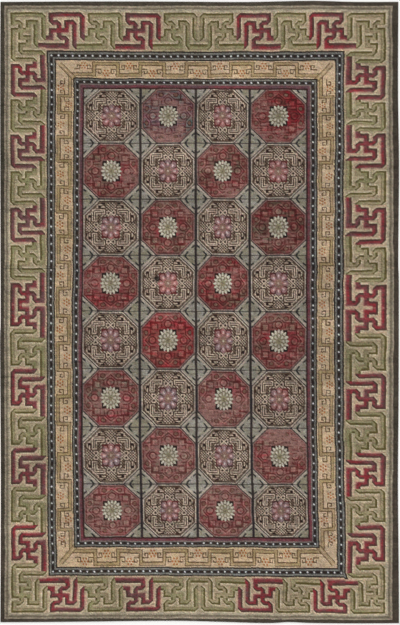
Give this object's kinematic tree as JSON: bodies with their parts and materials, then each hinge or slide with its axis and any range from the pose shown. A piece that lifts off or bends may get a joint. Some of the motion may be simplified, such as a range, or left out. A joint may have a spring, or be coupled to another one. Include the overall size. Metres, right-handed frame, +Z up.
{
  "type": "chinese silk rug",
  "caption": "Flat rectangular knotted silk pile rug with an octagon lattice field, guard stripes and a fret border, laid on a floor to cover and soften it.",
  "frame": {"origin": "middle of the rug's underside, on the floor it lies on", "axes": "+Y along the rug's length towards its far end, +X across its width, +Z up out of the pile"},
  "size_m": [1.9944, 3.112, 0.007],
  "materials": {
    "silk_pile": "short knotted silk pile, softly lustrous, worn"
  },
  "bodies": {
    "root": {"rug": "silk_pile"}
  },
  "joints": []
}
